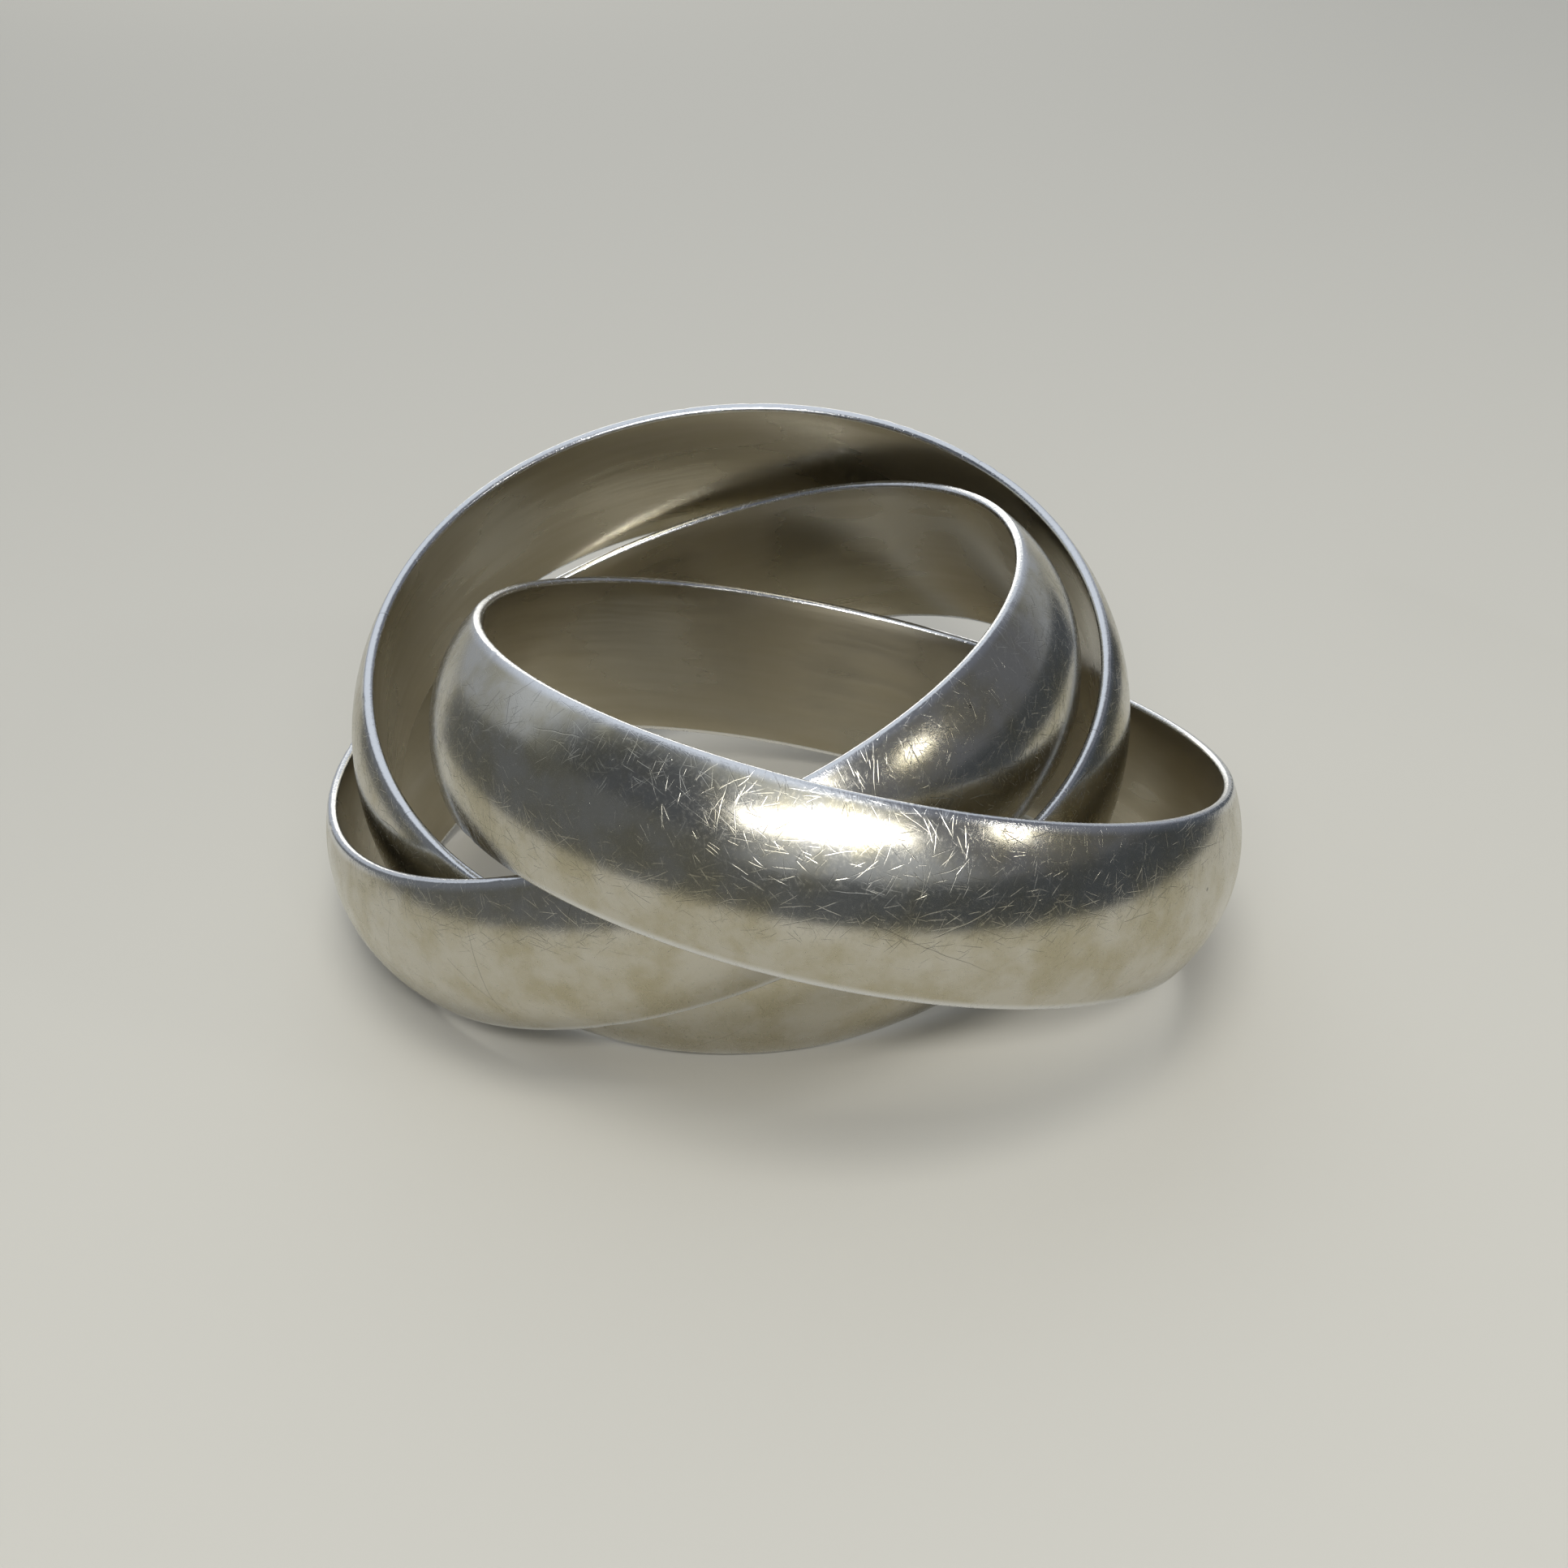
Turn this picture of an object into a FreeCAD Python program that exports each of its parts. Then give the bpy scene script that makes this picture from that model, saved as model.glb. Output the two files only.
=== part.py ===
import FreeCAD, Part
import Sketcher

import os

# Three plain finger-ring bands of one size, each linked through the other two.
# Frame: millimetres, +Z up from the surface that the bands lie on, origin on that surface under the
# middle of the group. +X is to the right and +Y to the back when the front band faces the viewer.

DRIVING_SIZES = {
    "bore_radius": 10.0,        # inside of a band, where the finger goes
    "band_width": 4.7,          # along the band's own axis
    "rim_thickness": 0.25,      # wall at either rim
    "crown_height": 0.7,        # how far the half-round outside rises above the rims
    "edge_round": 0.13,         # the worn edge between rim and crown, and between rim and bore
}

# How each band lies: its centre seen from above, how far its axis leans away from upright, and the
# heading that it leans towards, anticlockwise from +X.
LYING_BANDS = {
    "front_band": {"centre_x": 1.84, "centre_y": -1.77, "lean": 19.7, "heading": 40.2},
    "middle_band": {"centre_x": -1.94, "centre_y": 1.16, "lean": 18.1, "heading": 177.1},
    "back_band": {"centre_x": -0.77, "centre_y": 2.02, "lean": 20.5, "heading": 269.1},
}

# The crown is an arc over the band's width, so its radius follows from the width and the height.
CROWN_RADIUS = "((Sizes.band_width ^ 2 / 4 + Sizes.crown_height ^ 2) / (2 * Sizes.crown_height))"

PARTS_FOLDER = "parts"


def make_sheet(doc):
    """Write every driving dimension into one spreadsheet, an alias for each."""
    sheet = doc.addObject("Spreadsheet::Sheet", "Sizes")
    cells = dict(DRIVING_SIZES)
    for band, pose in LYING_BANDS.items():
        for word, value in pose.items():
            cells[f"{band}_{word}"] = value
    for row, (alias, value) in enumerate(cells.items(), start=1):
        sheet.set(f"A{row}", alias)
        sheet.set(f"B{row}", str(value))
        sheet.setAlias(f"B{row}", alias)
    doc.recompute()
    return sheet


def origin_plane(body, role):
    """Find one of the body's own origin planes by its role."""
    return next(feature for feature in body.Origin.OriginFeatures if feature.Role == role)


def draw_section(body, prefix):
    """Sketch the half-round section beside the band's axis: flat bore wall, two thin rims, crown."""
    sketch = body.newObject("Sketcher::SketchObject", f"{prefix}_section")
    sketch.AttachmentSupport = [(origin_plane(body, "XZ_Plane"), "")]
    sketch.MapMode = "FlatFace"

    bore = DRIVING_SIZES["bore_radius"]
    half_width = DRIVING_SIZES["band_width"] / 2
    rim = DRIVING_SIZES["rim_thickness"]
    crown = DRIVING_SIZES["crown_height"]
    vector = FreeCAD.Vector
    lower_bore = vector(bore, -half_width, 0)
    upper_bore = vector(bore, half_width, 0)
    upper_rim = vector(bore + rim, half_width, 0)
    lower_rim = vector(bore + rim, -half_width, 0)
    crown_top = vector(bore + rim + crown, 0, 0)

    bore_wall = sketch.addGeometry(Part.LineSegment(lower_bore, upper_bore))
    upper_edge = sketch.addGeometry(Part.LineSegment(upper_bore, upper_rim))
    crown_arc = sketch.addGeometry(Part.Arc(lower_rim, crown_top, upper_rim))
    lower_edge = sketch.addGeometry(Part.LineSegment(lower_rim, lower_bore))

    rule = Sketcher.Constraint
    start, end, centre, whole = 1, 2, 3, 0
    x_axis, origin = -1, -1
    sketch.addConstraint(rule("Coincident", bore_wall, end, upper_edge, start))
    sketch.addConstraint(rule("Coincident", upper_edge, end, crown_arc, end))
    sketch.addConstraint(rule("Coincident", crown_arc, start, lower_edge, start))
    sketch.addConstraint(rule("Coincident", lower_edge, end, bore_wall, start))
    sketch.addConstraint(rule("Horizontal", upper_edge))
    sketch.addConstraint(rule("Horizontal", lower_edge))
    sketch.addConstraint(rule("Symmetric", bore_wall, start, bore_wall, end, x_axis, whole))
    sketch.addConstraint(rule("PointOnObject", crown_arc, centre, x_axis))
    sizes = [
        ("bore_radius", rule("DistanceX", origin, start, bore_wall, start, bore), "Sizes.bore_radius"),
        ("band_width", rule("DistanceY", bore_wall, start, bore_wall, end, 2 * half_width),
         "Sizes.band_width"),
        ("rim_thickness", rule("DistanceX", upper_edge, start, upper_edge, end, rim),
         "Sizes.rim_thickness"),
        ("crown_radius", rule("Radius", crown_arc, (half_width**2 + crown**2) / (2 * crown)),
         CROWN_RADIUS),
    ]
    for name, constraint, expression in sizes:
        index = sketch.addConstraint(constraint)
        sketch.renameConstraint(index, name)
        sketch.setExpression(f"Constraints.{name}", expression)
    return sketch


def revolve_band(body, sketch, prefix):
    """Turn the section once round the band's axis, then round the four long edges."""
    turn = body.newObject("PartDesign::Revolution", f"{prefix}_turned")
    turn.Profile = sketch
    turn.ReferenceAxis = (sketch, ["V_Axis"])
    turn.Angle = 360
    sketch.Visibility = False
    sketch.Document.recompute()
    turned_volume = turn.Shape.Volume

    edges = [f"Edge{number}" for number, edge in enumerate(turn.Shape.Edges, start=1) if is_rim(edge)]
    worn = body.newObject("PartDesign::Fillet", f"{prefix}_worn_edges")
    worn.Base = (turn, edges)
    worn.setExpression("Radius", "Sizes.edge_round")
    sketch.Document.recompute()
    if worn.Shape.Volume >= turned_volume:
        raise RuntimeError(f"{prefix}: rounding the edges removed nothing")
    return worn


def is_rim(edge):
    """A rim edge is a full circle round the band's axis, at the top or the bottom of the section."""
    return edge.Curve.TypeId == "Part::GeomCircle" and edge.Closed


def resting_height(prefix):
    """The height of a leaning band's centre when its lower outer edge touches the surface.

    The edge is a small round, so the height is to the round's centre, plus the round itself.
    """
    edge = "Sizes.edge_round"
    round_drop = f"(Sizes.band_width / 2 - {edge})"
    crown_centre = f"(Sizes.bore_radius + Sizes.rim_thickness + Sizes.crown_height - {CROWN_RADIUS})"
    round_reach = f"({crown_centre} + sqrt(({CROWN_RADIUS} - {edge}) ^ 2 - {round_drop} ^ 2))"
    lean = f"Sizes.{prefix}_lean"
    return f"({round_reach} * sin({lean}) + {round_drop} * cos({lean}) + {edge})"


def make_band(doc, prefix):
    """One band: a half-round section turned into a ring, laid leaning on the surface."""
    body = doc.addObject("PartDesign::Body", prefix)
    body.Label = prefix
    sketch = draw_section(body, prefix)
    revolve_band(body, sketch, prefix)
    place = f"vector(Sizes.{prefix}_centre_x; Sizes.{prefix}_centre_y; {resting_height(prefix)})"
    turn = f"rotation(Sizes.{prefix}_heading; Sizes.{prefix}_lean; 0)"
    body.setExpression("Placement", f"placement({place}; {turn})")
    return body


def check_document(doc, bodies):
    """Stop if any object failed to build, or if a band is not one sound solid."""
    for thing in doc.Objects:
        if "Invalid" in thing.State or "Error" in thing.State:
            raise RuntimeError(f"{thing.Name} failed: {thing.State}")
    for body in bodies:
        if body.Shape.isNull() or not body.Shape.isValid() or len(body.Shape.Solids) != 1:
            raise RuntimeError(f"{body.Label} is not one valid solid")


def main():
    doc = FreeCAD.newDocument("linked_bands")
    make_sheet(doc)
    bodies = [make_band(doc, prefix) for prefix in LYING_BANDS]
    doc.recompute()
    check_document(doc, bodies)
    os.makedirs(PARTS_FOLDER, exist_ok=True)
    for body in bodies:
        body.Shape.exportStep(f"{PARTS_FOLDER}/{body.Label}.step")
        box = body.Shape.optimalBoundingBox(True, False)
        print(body.Label, f"lowest {box.ZMin:.3f}, highest {box.ZMax:.3f}, volume {body.Shape.Volume:.2f}")


main()
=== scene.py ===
import math

import bpy
import numpy as np
from mathutils import Matrix, Vector, noise


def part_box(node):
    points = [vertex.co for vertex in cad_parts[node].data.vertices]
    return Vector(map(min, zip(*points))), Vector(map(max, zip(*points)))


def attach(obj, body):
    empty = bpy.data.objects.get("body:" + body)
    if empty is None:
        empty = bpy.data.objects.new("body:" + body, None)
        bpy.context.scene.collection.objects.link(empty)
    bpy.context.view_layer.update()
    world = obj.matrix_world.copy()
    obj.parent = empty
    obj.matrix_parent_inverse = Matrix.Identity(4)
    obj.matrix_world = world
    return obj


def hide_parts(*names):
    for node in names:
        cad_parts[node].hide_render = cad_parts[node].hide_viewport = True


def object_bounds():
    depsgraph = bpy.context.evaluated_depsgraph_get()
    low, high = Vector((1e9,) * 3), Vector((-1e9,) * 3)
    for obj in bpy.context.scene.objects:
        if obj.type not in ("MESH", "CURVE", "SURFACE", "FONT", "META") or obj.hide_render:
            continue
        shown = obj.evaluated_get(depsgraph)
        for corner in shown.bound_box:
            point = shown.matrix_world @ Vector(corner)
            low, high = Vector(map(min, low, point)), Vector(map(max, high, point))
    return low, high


# A rolling ring: three plain worn silver bands, each linked through the other two.
# Sizes are in millimetres unless a name says otherwise, and MM turns them into Blender's metres.
MM = 0.001
BANDS = ("front_band", "middle_band", "back_band")

# Two sizes of the section, in mm, that can't be measured on the CAD mesh directly.
RIM_THICKNESS = 0.25
EDGE_ROUND = 0.13

# How finely a band's mesh is cut.
STEPS_AROUND = 1024
STEPS_BORE = 10
STEPS_CROWN = 24
STEPS_EDGE = 4

# Unevenness of the worn surface. It only ever goes inwards.
WAVE_DEPTH = 0.012
WAVE_LENGTH = 4.0
NICK_COUNT = 26
NICK_DEPTH = (0.015, 0.05)
NICK_LENGTH = (0.15, 0.45)
NICK_REACH = 0.28
DENT_COUNT = 5
DENT_DEPTH = (0.01, 0.02)
DENT_RADIUS = (0.5, 1.1)
DENT_SPREAD = 0.7  # share of the half width within which the dents' middles lie
NOISE_SPREAD = 50.0  # how far a band's waves may be shifted, so that no two bands are alike

PLACE = "band_place"  # each vertex's place in its band's own frame, in mm, axis along Z

# The camera: its aim from the middle of the object's box, its distance, and its angles.
AIM_OFFSET = (0.37, 0.61, -1.84)
CAMERA_DISTANCE = 65.2
CAMERA_HEADING = 0.98
CAMERA_DROP = 29.26
CAMERA_ROLL = -2.87
SENSOR = 36.0
LENS = 53.1
CLIP_NEAR = 1.0

# Metal colours. The tarnish lies in soft patches, and the edges are rubbed bright.
CLEAN_SILVER = (0.58, 0.555, 0.48, 1)
TARNISHED_SILVER = (0.47, 0.43, 0.31, 1)
RUBBED_EDGE = (0.76, 0.76, 0.75, 1)
DIRT = (0.10, 0.09, 0.08, 1)
CLEAN_BORE = (0.55, 0.51, 0.41, 1)
TARNISHED_BORE = (0.43, 0.38, 0.27, 1)

# How deep the shader's own unevenness looks, outside and in the bore.
OUTSIDE_BUMP = 0.0024
BORE_BUMP = 0.008

# The rubbed edge: how far from the middle of the band's width it begins and is full.
RUBBED_EDGE_REACH = (2.1, 2.3)

# Where a cell's three scratches lie across it, and where they fade, both as a share of its size.
SCRATCH_SIDESTEPS = (-0.22, 0.0, 0.22)
SCRATCH_FADE = (0.3, 0.75)

# Scratches bend a little: features of the bend per mm, and its size in mm.
BEND_SCALE = 1.1
BEND_SIZE = 0.15

# Each band's pattern is shifted by its own number times this, in mm.
OUTSIDE_SHIFT = (31.0, 17.0, 11.0)
BORE_SHIFT = (23.0, 13.0, 19.0)

# Layers of fine scratches: size of the cells that they lie in, half width of a scratch, and share.
SCRATCH_LAYERS = (
    (1.6, 0.018, 0.2),
    (0.95, 0.013, 0.45),
    (0.7, 0.012, 0.8),
    (0.52, 0.011, 1.0),
    (0.4, 0.010, 1.0),
)

# The floor: its colour and roughness, how far it reaches, and how far below the bands it lies.
FLOOR_COLOUR = (0.50, 0.48, 0.42, 1)
FLOOR_ROUGHNESS = 0.8
FLOOR_REACH = 900.0
FLOOR_DROP = 0.01

# The dark card, a painted reflection of shade: a dim glowing grey card seen only in reflections,
# standing in for the shaded floor and dark surroundings. Its radius, the degrees from one point of
# its outline to the next, its top as pairs of azimuth and height, and its grey, which changes from
# the left shade to the right shade this far either side of the middle.
CARD_RADIUS = 31.0
CARD_STEP = 2.0
CARD_TOP = ((45, 9), (150, 11), (195, 12), (212, 18), (240, 20), (265, 18), (285, 12), (300, 9))
CARD_LEFT = (0.145, 0.155, 0.17, 1)
CARD_RIGHT = (0.07, 0.08, 0.095, 1)
CARD_BLEND = 20.0

# Soft lights: azimuth, elevation, distance, width, height, radiance, colour, and whether the light
# shows in reflections.
SOFTBOXES = {
    "key_light": (177, 39, 250, 185, 44, 7.0, (1.0, 0.99, 0.96), True),
    "glint_light": (172, 40, 250, 44, 28, 45.0, (1.0, 1.0, 1.0), True),
    "side_light": (118, 30, 250, 24, 24, 14.0, (1.0, 0.98, 0.92), True),
    "back_light": (-5, 13, 250, 170, 90, 1.7, (1.0, 0.97, 0.88), True),
    "floor_light": (177, 75, 250, 100, 100, 7.0, (1.0, 0.99, 0.96), False),
}

# The sky's colour near the horizon and overhead, and the heights of the unit sphere it changes over.
SKY_LOW = (0.40, 0.43, 0.49, 1)
SKY_HIGH = (0.74, 0.80, 0.90, 1)
SKY_CHANGE = (0.1, 0.8)

# Large dim patches of the sky: azimuth, elevation, inner and outer reach in degrees, colour.
SKY_PATCHES = (
    (238, 28, 22, 44, (0.09, 0.10, 0.12)),
    (96, 28, 32, 58, (0.15, 0.16, 0.19)),
)


# ---------------------------------------------------------------- measuring the CAD bands


def measure_band(node):
    """Find a band's centre, axis, radii and half width from its CAD mesh, in mm."""
    mesh = node.data
    count = len(mesh.polygons)
    normals = np.zeros(count * 3)
    areas = np.zeros(count)
    mesh.polygons.foreach_get("normal", normals)
    mesh.polygons.foreach_get("area", areas)
    normals = normals.reshape(-1, 3)
    spread = (normals * areas[:, None]).T @ normals
    axis = np.linalg.eigh(spread)[1][:, 0]
    axis = axis * math.copysign(1.0, axis[2])
    low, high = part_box(node.name)
    centre = np.array((low + high) / 2)
    offsets = np.array([vertex.co for vertex in mesh.vertices]) - centre
    along = offsets @ axis
    radial = np.linalg.norm(offsets - np.outer(along, axis), axis=1)
    return {
        "centre": centre / MM,
        "axis": axis,
        "bore": radial.min() / MM,
        "crown": radial.max() / MM,
        "half_width": along.max() / MM,
    }


# ---------------------------------------------------------------- building a fine band mesh


def arc_points(centre, radius, start, end, steps):
    """Points on an arc from one angle to another, both ends included."""
    angles = np.linspace(start, end, steps + 1)
    return [(centre[0] + radius * math.cos(a), centre[1] + radius * math.sin(a)) for a in angles]


def section_outline(size):
    """The half-round section as (radius, height) points: bore, upper rim, crown, lower rim."""
    half = size["half_width"]
    bore = size["bore"]
    crown_height = size["crown"] - bore - RIM_THICKNESS
    crown_radius = (half**2 + crown_height**2) / (2 * crown_height)
    crown_centre = size["crown"] - crown_radius
    inner_round = (bore + EDGE_ROUND, half - EDGE_ROUND)
    reach = math.sqrt((crown_radius - EDGE_ROUND) ** 2 - (half - EDGE_ROUND) ** 2)
    outer_round = (crown_centre + reach, half - EDGE_ROUND)
    turn = math.atan2(half - EDGE_ROUND, reach)
    quarter = math.pi / 2

    heights = np.linspace(-inner_round[1], inner_round[1], STEPS_BORE + 1)
    wall = [(bore, height) for height in heights[1:-1]]
    upper = arc_points(inner_round, EDGE_ROUND, math.pi, quarter, STEPS_EDGE)
    upper += arc_points(outer_round, EDGE_ROUND, quarter, turn, STEPS_EDGE)
    dome = arc_points((crown_centre, 0.0), crown_radius, turn, -turn, STEPS_CROWN)[1:-1]
    lower = [(radius, -height) for radius, height in reversed(upper)]
    return np.array(wall + upper + dome + lower)


def smooth_bump(distance, radius):
    """A soft hollow's depth: 1 at its middle, 0 from its radius outwards."""
    inside = np.clip(1.0 - (distance / radius) ** 2, 0.0, 1.0)
    return inside**2


def wear_inwards(grid, size, rng):
    """Push the outer surface inwards a little: long waves, rim nicks and shallow dents."""
    radius = np.hypot(grid[..., 0], grid[..., 1])
    height = grid[..., 2]
    angle = np.arctan2(grid[..., 1], grid[..., 0])
    outside = np.clip((radius - size["bore"] - EDGE_ROUND) / RIM_THICKNESS, 0.0, 1.0)
    offset = Vector(rng.uniform(-NOISE_SPREAD, NOISE_SPREAD, 3))
    waves = np.array([noise.noise(Vector(p) / WAVE_LENGTH + offset) for p in grid.reshape(-1, 3)])
    depth = WAVE_DEPTH * np.clip(0.5 + waves.reshape(radius.shape), 0.0, 1.0)

    for _ in range(DENT_COUNT):
        turn = rng.uniform(-math.pi, math.pi)
        level = rng.uniform(-DENT_SPREAD, DENT_SPREAD) * size["half_width"]
        away = np.hypot(wrap(angle - turn) * size["crown"], height - level)
        depth += rng.uniform(*DENT_DEPTH) * smooth_bump(away, rng.uniform(*DENT_RADIUS))

    for _ in range(NICK_COUNT):
        turn = rng.uniform(-math.pi, math.pi)
        side = rng.choice((-1.0, 1.0))
        length = rng.uniform(*NICK_LENGTH)
        along = wrap(angle - turn) * size["crown"] / length
        across = (side * size["half_width"] - height) / NICK_REACH
        depth += rng.uniform(*NICK_DEPTH) * smooth_bump(np.hypot(along, across), 1.0)

    shrink = 1.0 - depth * outside / radius
    worn = grid.copy()
    worn[..., 0] *= shrink
    worn[..., 1] *= shrink
    return worn


def wrap(angle):
    """An angle brought to between minus and plus half a turn."""
    return (angle + math.pi) % (2 * math.pi) - math.pi


def build_band(name, size, seed, skins):
    """One fine closed band mesh in the row frame, with outside and bore skins."""
    rng = np.random.default_rng(seed)
    outline = section_outline(size)
    rows = len(outline)
    turns = np.linspace(0.0, 2 * math.pi, STEPS_AROUND, endpoint=False)
    grid = np.empty((STEPS_AROUND, rows, 3))
    grid[..., 0] = np.cos(turns)[:, None] * outline[:, 0]
    grid[..., 1] = np.sin(turns)[:, None] * outline[:, 0]
    grid[..., 2] = outline[:, 1]
    worn = wear_inwards(grid, size, rng)

    across = np.cross(size["axis"], (1.0, 0.0, 0.0))
    across /= np.linalg.norm(across)
    basis = np.stack([np.cross(across, size["axis"]), across, size["axis"]])
    placed = (worn.reshape(-1, 3) @ basis + size["centre"]) * MM

    faces = []
    for turn in range(STEPS_AROUND):
        here, there = turn * rows, (turn + 1) % STEPS_AROUND * rows
        for row in range(rows):
            after = (row + 1) % rows
            faces.append((here + row, here + after, there + after, there + row))
    mesh = bpy.data.meshes.new(name)
    mesh.from_pydata(placed.tolist(), [], faces)
    for skin in skins:
        mesh.materials.append(skin)
    on_bore = np.zeros(rows, int)
    on_bore[: STEPS_BORE - 1] = 1
    on_bore[-1] = 1
    mesh.polygons.foreach_set("material_index", np.tile(on_bore, STEPS_AROUND))
    mesh.polygons.foreach_set("use_smooth", np.ones(len(faces), bool))
    place = mesh.attributes.new(PLACE, "FLOAT_VECTOR", "POINT")
    place.data.foreach_set("vector", grid.reshape(-1))
    mesh.update()
    piece = bpy.data.objects.new(name, mesh)
    bpy.context.scene.collection.objects.link(piece)
    return piece


# ---------------------------------------------------------------- node tree helpers


class Recipe:
    """Writes a material's or the world's node tree, with short calls that each return a socket."""

    def __init__(self, owner):
        self.owner = owner
        owner.use_nodes = True
        self.tree = owner.node_tree
        self.tree.nodes.clear()

    def node(self, kind, **settings):
        made = self.tree.nodes.new(kind)
        for key, value in settings.items():
            setattr(made, key, value)
        return made

    def feed(self, socket, value):
        """Link a socket, or set its own value."""
        if isinstance(value, bpy.types.NodeSocket):
            self.tree.links.new(value, socket)
        else:
            socket.default_value = value

    def math(self, operation, first, second=0.0):
        made = self.node("ShaderNodeMath", operation=operation)
        self.feed(made.inputs[0], first)
        self.feed(made.inputs[1], second)
        return made.outputs[0]

    def vector(self, operation, first, second=(0.0, 0.0, 0.0)):
        made = self.node("ShaderNodeVectorMath", operation=operation)
        self.feed(made.inputs[0], first)
        self.feed(made.inputs[1], second)
        return made.outputs["Value" if operation in ("DOT_PRODUCT", "LENGTH") else "Vector"]

    def ramp(self, value, low, high, at_low=0.0, at_high=1.0):
        """A smooth step from one value to another."""
        made = self.node("ShaderNodeMapRange", interpolation_type="SMOOTHSTEP")
        self.feed(made.inputs["Value"], value)
        self.feed(made.inputs["From Min"], low)
        self.feed(made.inputs["From Max"], high)
        self.feed(made.inputs["To Min"], at_low)
        self.feed(made.inputs["To Max"], at_high)
        return made.outputs["Result"]

    def noise(self, place, size, detail=2.0, rough=0.5):
        """Soft noise from 0 to 1, with features of about the given size in mm."""
        made = self.node("ShaderNodeTexNoise")
        self.feed(made.inputs["Vector"], place)
        self.feed(made.inputs["Scale"], 1.0 / size)
        self.feed(made.inputs["Detail"], detail)
        self.feed(made.inputs["Roughness"], rough)
        return made.outputs["Fac"]

    def blend(self, amount, first, second):
        """A colour between two colours, by the mix node's own colour sockets."""
        made = self.node("ShaderNodeMix", data_type="RGBA")
        self.feed(made.inputs["Factor"], amount)
        self.feed(made.inputs[6], first)
        self.feed(made.inputs[7], second)
        return made.outputs[2]


def scratches(recipe, place, cell, half_width, share):
    """Up to three straight scratches in each cell of a cell pattern, as one mask from 0 to 1."""
    cells = recipe.node("ShaderNodeTexVoronoi", voronoi_dimensions="3D", feature="F1")
    recipe.feed(cells.inputs["Vector"], place["drift"])
    recipe.feed(cells.inputs["Scale"], 1.0 / cell)
    offset = recipe.vector("SUBTRACT", place["drift"], cells.outputs["Position"])
    parts = recipe.node("ShaderNodeSeparateXYZ")
    recipe.feed(parts.inputs[0], offset)
    around = recipe.vector("DOT_PRODUCT", offset, place["tangent"])
    chance = recipe.node("ShaderNodeSeparateColor")
    recipe.feed(chance.inputs[0], cells.outputs["Color"])

    found = None
    for number, sidestep in enumerate(SCRATCH_SIDESTEPS):
        turn = recipe.math("MULTIPLY", chance.outputs[number], 2 * math.pi)
        across = recipe.math(
            "SUBTRACT",
            recipe.math("MULTIPLY", around, recipe.math("COSINE", turn)),
            recipe.math("MULTIPLY", parts.outputs["Z"], recipe.math("SINE", turn)),
        )
        across = recipe.math("SUBTRACT", across, sidestep * cell)
        line = recipe.ramp(recipe.math("ABSOLUTE", across), 0.0, half_width, 1.0, 0.0)
        strength = recipe.ramp(chance.outputs[(number + 1) % 3], 1.0 - share, 1.0)
        line = recipe.math("MULTIPLY", line, strength)
        found = line if found is None else recipe.math("MAXIMUM", found, line)
    ends = recipe.ramp(cells.outputs["Distance"], *SCRATCH_FADE, 1.0, 0.0)
    return recipe.math("MULTIPLY", found, ends)


def band_places(recipe, seed):
    """The band's own place, a bent copy of it for this band, and the way round the band."""
    bare = recipe.node("ShaderNodeAttribute", attribute_name=PLACE).outputs["Vector"]
    shifted = recipe.vector("ADD", bare, [seed * step for step in OUTSIDE_SHIFT])
    swirl = recipe.node("ShaderNodeTexNoise")
    recipe.feed(swirl.inputs["Vector"], shifted)
    recipe.feed(swirl.inputs["Scale"], BEND_SCALE)
    recipe.feed(swirl.inputs["Detail"], 1.0)
    bend = recipe.node("ShaderNodeVectorMath", operation="SCALE")
    recipe.feed(bend.inputs[0], swirl.outputs["Color"])
    bend.inputs["Scale"].default_value = BEND_SIZE
    tangent = recipe.vector("NORMALIZE", recipe.vector("CROSS_PRODUCT", (0.0, 0.0, 1.0), bare))
    return {"bare": bare, "drift": recipe.vector("ADD", shifted, bend.outputs[0]), "tangent": tangent}


def dark_pits(recipe, place, spacing, radius, share):
    """A few small round dark pits, as a mask from 0 to 1."""
    spots = recipe.node("ShaderNodeTexVoronoi", voronoi_dimensions="3D", feature="F1")
    recipe.feed(spots.inputs["Vector"], place["drift"])
    recipe.feed(spots.inputs["Scale"], 1.0 / spacing)
    chance = recipe.node("ShaderNodeSeparateColor")
    recipe.feed(chance.inputs[0], spots.outputs["Color"])
    edge = radius / spacing
    pit = recipe.ramp(spots.outputs["Distance"], 0.4 * edge, edge, 1.0, 0.0)
    return recipe.math("MULTIPLY", pit, recipe.math("LESS_THAN", chance.outputs[0], share))


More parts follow.
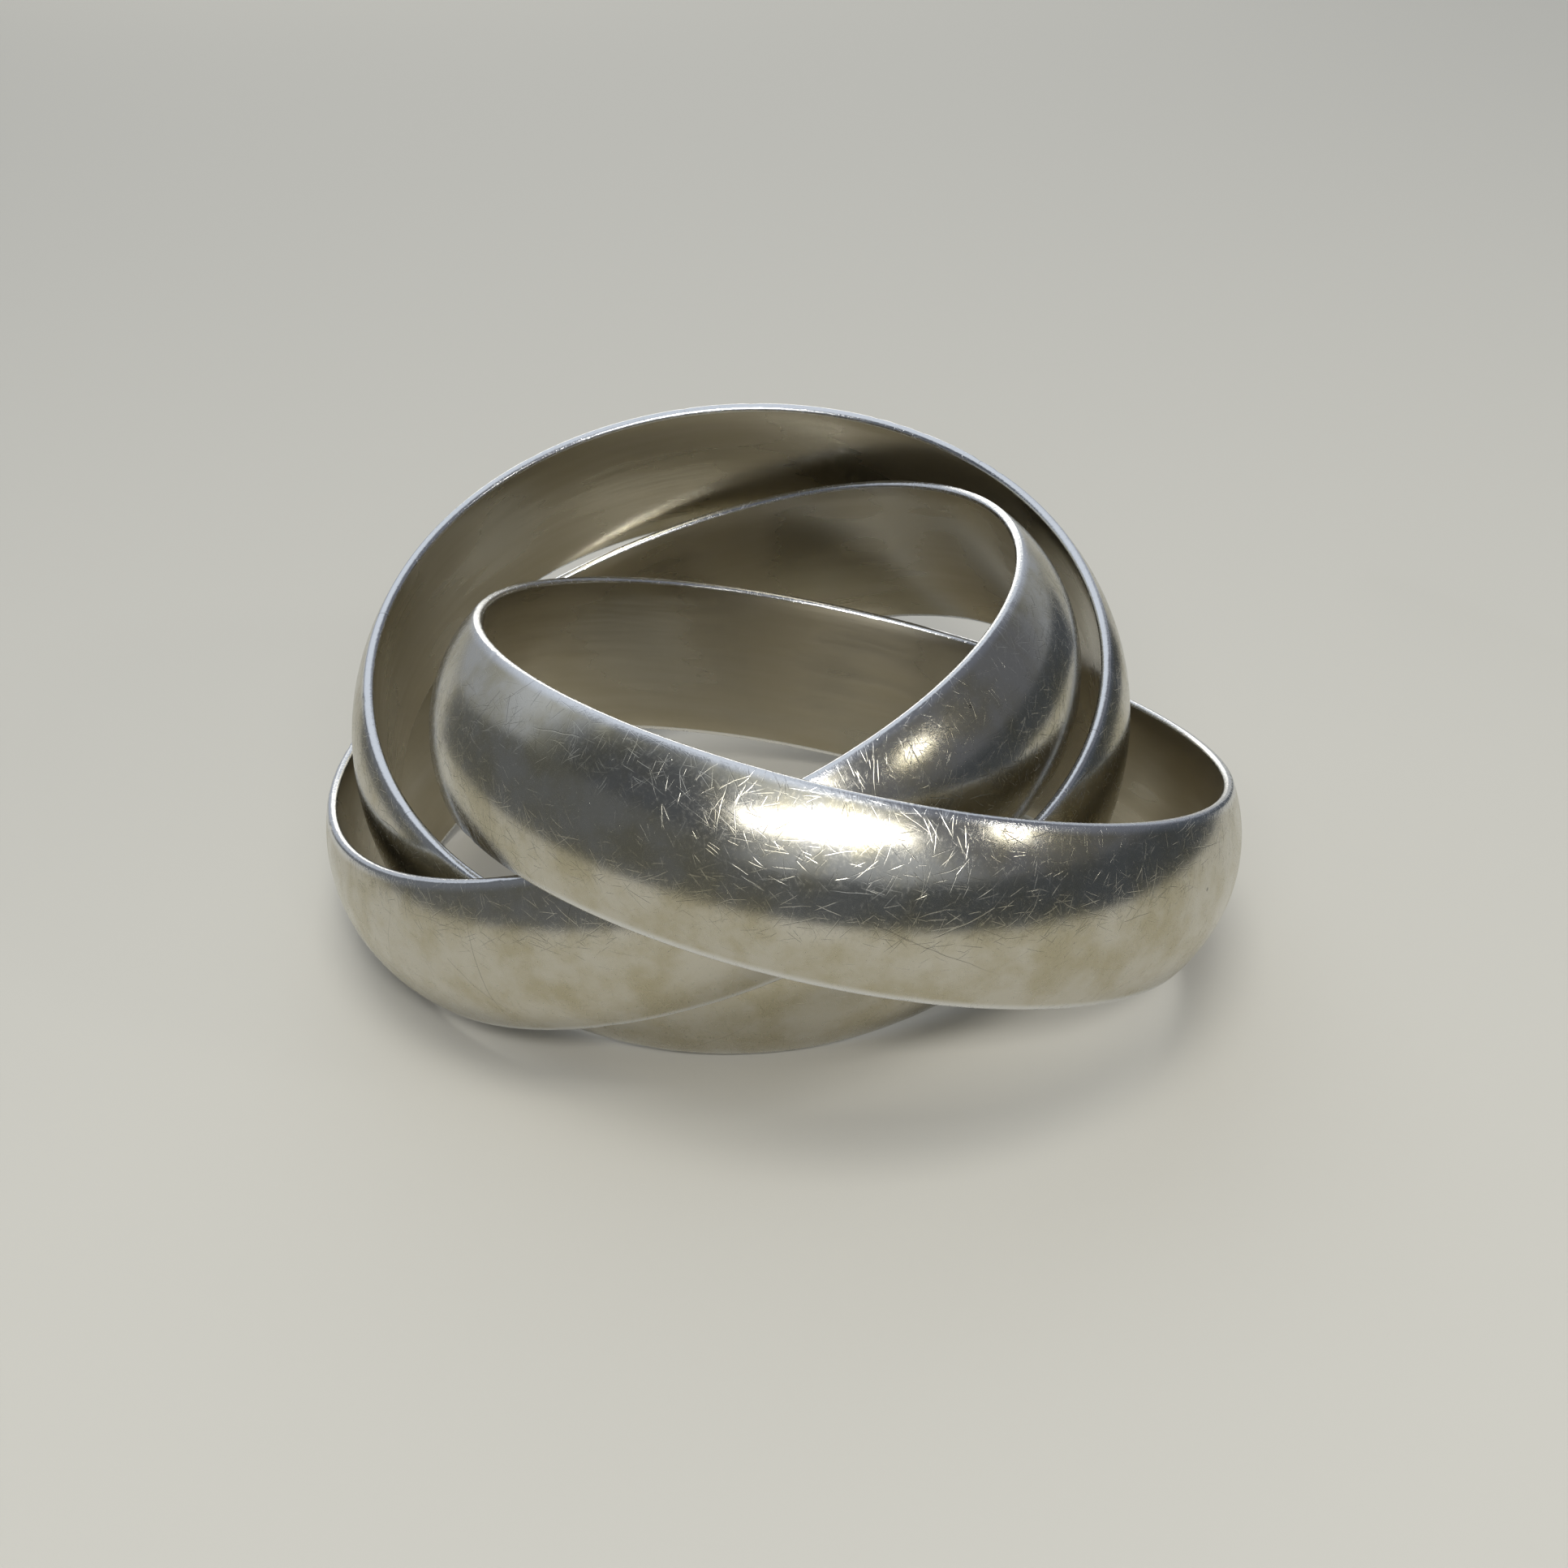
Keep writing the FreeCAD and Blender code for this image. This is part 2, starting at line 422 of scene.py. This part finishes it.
def silver_outside(name, seed):
    """Worn polished silver: hairline scratches, dark pits, soft haze and brighter edges."""
    recipe = Recipe(bpy.data.materials.new(name))
    place = band_places(recipe, seed)
    lines = None
    for cell, half_width, share in SCRATCH_LAYERS:
        layer = scratches(recipe, place, cell, half_width, share)
        lines = layer if lines is None else recipe.math("MAXIMUM", lines, layer)
    dark_lines = scratches(recipe, place, cell=3.2, half_width=0.018, share=0.3)

    haze = recipe.noise(place["drift"], size=1.6, detail=4.0, rough=0.6)
    grain = recipe.noise(place["drift"], size=0.09, detail=3.0, rough=0.6)
    pit = dark_pits(recipe, place, spacing=1.0, radius=0.07, share=0.2)
    stain = recipe.math("MAXIMUM", pit, recipe.math("MULTIPLY", dark_lines, 0.8))

    parts = recipe.node("ShaderNodeSeparateXYZ")
    recipe.feed(parts.inputs[0], place["bare"])
    edge = recipe.ramp(recipe.math("ABSOLUTE", parts.outputs["Z"]), *RUBBED_EDGE_REACH)

    clean = recipe.blend(recipe.ramp(haze, 0.35, 0.7), CLEAN_SILVER, TARNISHED_SILVER)
    bright = recipe.blend(edge, clean, RUBBED_EDGE)
    colour = recipe.blend(recipe.math("MULTIPLY", stain, 0.8), bright, DIRT)

    roughness = recipe.ramp(haze, 0.3, 0.75, 0.16, 0.22)
    roughness = recipe.math("ADD", roughness, recipe.ramp(grain, 0.45, 0.75, 0.0, 0.10))
    roughness = recipe.math("ADD", roughness, recipe.math("MULTIPLY", lines, 0.10))

    height = recipe.math("MULTIPLY", lines, -1.0)
    height = recipe.math("SUBTRACT", height, recipe.math("MULTIPLY", pit, 1.5))
    grain_depth = recipe.ramp(edge, 0.0, 1.0, 0.3, 3.0)
    height = recipe.math("ADD", height, recipe.math("MULTIPLY", grain, grain_depth))
    bump = recipe.node("ShaderNodeBump")
    recipe.feed(bump.inputs["Height"], height)
    bump.inputs["Distance"].default_value = OUTSIDE_BUMP * MM

    finish_metal(recipe, colour, roughness, bump)
    return recipe.owner


def silver_bore(name, seed):
    """The finger side: duller, browner, with soft streaks running round the band."""
    recipe = Recipe(bpy.data.materials.new(name))
    bare = recipe.node("ShaderNodeAttribute", attribute_name=PLACE).outputs["Vector"]
    shifted = recipe.vector("ADD", bare, [seed * step for step in BORE_SHIFT])
    stretched = recipe.vector("MULTIPLY", shifted, (0.3, 0.3, 3.0))
    streaks = recipe.noise(stretched, size=1.4, detail=2.0, rough=0.5)
    clouds = recipe.noise(shifted, size=3.2, detail=0.0)
    tarnish = recipe.math("ADD", clouds, recipe.math("MULTIPLY", streaks, 0.5))
    tarnish = recipe.ramp(tarnish, 0.45, 1.05)
    colour = recipe.blend(tarnish, CLEAN_BORE, TARNISHED_BORE)
    roughness = recipe.ramp(tarnish, 0.0, 1.0, 0.24, 0.36)
    bump = recipe.node("ShaderNodeBump")
    recipe.feed(bump.inputs["Height"], streaks)
    bump.inputs["Distance"].default_value = BORE_BUMP * MM
    finish_metal(recipe, colour, roughness, bump)
    return recipe.owner


def finish_metal(recipe, colour, roughness, bump):
    """Send the worked-out values to one metal shader."""
    shader = recipe.node("ShaderNodeBsdfPrincipled")
    shader.inputs["Metallic"].default_value = 1.0
    recipe.feed(shader.inputs["Base Color"], colour)
    recipe.feed(shader.inputs["Roughness"], roughness)
    recipe.feed(shader.inputs["Normal"], bump.outputs["Normal"])
    output = recipe.node("ShaderNodeOutputMaterial")
    recipe.feed(output.inputs["Surface"], shader.outputs[0])


# ---------------------------------------------------------------- camera, floor and light


def add_camera(middle):
    """The camera, at the viewing angle that the object is shown from."""
    heading, drop, roll = (math.radians(a) for a in (CAMERA_HEADING, CAMERA_DROP, CAMERA_ROLL))
    forward = Vector((-math.sin(heading) * math.cos(drop), math.cos(heading) * math.cos(drop),
                      -math.sin(drop)))
    aim = middle + Vector(AIM_OFFSET) * MM
    data = bpy.data.cameras.new("camera")
    data.sensor_width = SENSOR
    data.lens = LENS
    data.clip_start = CLIP_NEAR * MM
    camera = bpy.data.objects.new("camera", data)
    turn = forward.to_track_quat("-Z", "Y").to_matrix().to_4x4() @ Matrix.Rotation(roll, 4, "Z")
    camera.matrix_world = Matrix.Translation(aim - forward * CAMERA_DISTANCE * MM) @ turn
    bpy.context.scene.collection.objects.link(camera)
    bpy.context.scene.camera = camera


def direction(azimuth, elevation):
    """A unit vector: azimuth 0 is to the back, 90 to the right; elevation is upwards."""
    a, e = math.radians(azimuth), math.radians(elevation)
    return Vector((math.sin(a) * math.cos(e), math.cos(a) * math.cos(e), math.sin(e)))


def add_softbox(name, azimuth, elevation, distance, width, height, radiance, colour, mirrored):
    """A flat soft light that faces the object, with the given radiance over its face.

    One that is not mirrored lights matt surfaces only, and shows in no reflection.
    """
    data = bpy.data.lights.new(name, "AREA")
    data.shape = "RECTANGLE"
    data.size = width * MM
    data.size_y = height * MM
    data.energy = radiance * math.pi * data.size * data.size_y
    data.color = colour
    lamp = bpy.data.objects.new(name, data)
    away = direction(azimuth, elevation)
    lamp.matrix_world = Matrix.Translation(away * distance * MM) @ (
        (-away).to_track_quat("-Z", "Y").to_matrix().to_4x4()
    )
    lamp.visible_camera = False
    lamp.visible_glossy = mirrored
    bpy.context.scene.collection.objects.link(lamp)


def add_floor():
    """A large plain pale floor under the bands."""
    reach = FLOOR_REACH * MM
    mesh = bpy.data.meshes.new("floor")
    corners = ((-reach, -reach), (reach, -reach), (reach, reach), (-reach, reach))
    mesh.from_pydata([(x, y, -FLOOR_DROP * MM) for x, y in corners], [], [(0, 1, 2, 3)])
    recipe = Recipe(bpy.data.materials.new("pale_floor"))
    shader = recipe.node("ShaderNodeBsdfPrincipled")
    shader.inputs["Base Color"].default_value = FLOOR_COLOUR
    shader.inputs["Roughness"].default_value = FLOOR_ROUGHNESS
    output = recipe.node("ShaderNodeOutputMaterial")
    recipe.feed(output.inputs["Surface"], shader.outputs[0])
    mesh.materials.append(recipe.owner)
    floor = bpy.data.objects.new("floor", mesh)
    bpy.context.scene.collection.objects.link(floor)


def add_painted_shade_card():
    """A painted reflection of shade: a dim grey card bent round part of the set that glows and is
    seen only in reflections.
    """
    mesh = bpy.data.meshes.new("painted_shade_card")
    turns, heights = zip(*CARD_TOP)
    azimuths = np.arange(turns[0], turns[-1] + 1, CARD_STEP)
    tops = np.interp(azimuths, turns, heights)
    points = []
    for azimuth, top in zip(azimuths, tops):
        base = direction(azimuth, 0.0) * CARD_RADIUS * MM
        points += [tuple(base), (base.x, base.y, top * MM)]
    faces = [(2 * i, 2 * i + 2, 2 * i + 3, 2 * i + 1) for i in range(len(azimuths) - 1)]
    mesh.from_pydata(points, [], faces)
    recipe = Recipe(bpy.data.materials.new("painted_shade_card"))
    parts = recipe.node("ShaderNodeSeparateXYZ")
    recipe.feed(parts.inputs[0], recipe.node("ShaderNodeNewGeometry").outputs["Position"])
    rightness = recipe.ramp(parts.outputs["X"], -CARD_BLEND * MM, CARD_BLEND * MM)
    # The card glows a dim grey, lighter on the left and darker on the right: painted reflection of
    # shade, not a lamp.
    glow = recipe.node("ShaderNodeEmission")
    recipe.feed(glow.inputs["Color"], recipe.blend(rightness, CARD_LEFT, CARD_RIGHT))
    output = recipe.node("ShaderNodeOutputMaterial")
    recipe.feed(output.inputs["Surface"], glow.outputs[0])
    mesh.materials.append(recipe.owner)
    card = bpy.data.objects.new("painted_shade_card", mesh)
    card.visible_camera = False
    card.visible_diffuse = False
    card.visible_shadow = False
    card.visible_transmission = False
    card.visible_volume_scatter = False
    bpy.context.scene.collection.objects.link(card)


def add_world():
    """Soft light from all round, with two large dim patches that the crowns reflect."""
    recipe = Recipe(bpy.data.worlds.new("studio"))
    toward = recipe.node("ShaderNodeTexCoord").outputs["Generated"]
    parts = recipe.node("ShaderNodeSeparateXYZ")
    recipe.feed(parts.inputs[0], toward)
    height = recipe.ramp(parts.outputs["Z"], *SKY_CHANGE)
    colour = recipe.blend(height, SKY_LOW, SKY_HIGH)
    for azimuth, elevation, inner, outer, tint in SKY_PATCHES:
        nearness = recipe.vector("DOT_PRODUCT", toward, tuple(direction(azimuth, elevation)))
        reach = (math.cos(math.radians(outer)), math.cos(math.radians(inner)))
        colour = recipe.blend(recipe.ramp(nearness, *reach), colour, (*tint, 1))
    glow = recipe.node("ShaderNodeBackground")
    recipe.feed(glow.inputs["Color"], colour)
    output = recipe.node("ShaderNodeOutputWorld")
    recipe.feed(output.inputs["Surface"], glow.outputs[0])
    bpy.context.scene.world = recipe.owner


def light_the_set():
    """World, soft lights and the dark card, a painted reflection of shade."""
    add_world()
    for name, settings in SOFTBOXES.items():
        add_softbox(name, *settings)
    add_painted_shade_card()


# ---------------------------------------------------------------- the scene

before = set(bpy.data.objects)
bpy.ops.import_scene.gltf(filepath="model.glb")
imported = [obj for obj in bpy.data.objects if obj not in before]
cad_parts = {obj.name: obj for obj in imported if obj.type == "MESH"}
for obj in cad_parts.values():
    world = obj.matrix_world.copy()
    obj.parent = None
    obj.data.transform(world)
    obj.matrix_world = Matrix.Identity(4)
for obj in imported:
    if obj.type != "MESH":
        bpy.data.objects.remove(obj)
cad_box = [list(corner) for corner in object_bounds()]

for seed, band in enumerate(BANDS, start=1):
    band_size = measure_band(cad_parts[band])
    skins = [silver_outside(f"{band}_outside", seed), silver_bore(f"{band}_bore", seed)]
    piece = build_band(f"{band}_metal", band_size, seed, skins)
    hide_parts(band)
    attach(piece, band)

add_floor()
light_the_set()
add_camera((Vector(cad_box[0]) + Vector(cad_box[1])) / 2)
bpy.context.scene.view_settings.view_transform = "Standard"
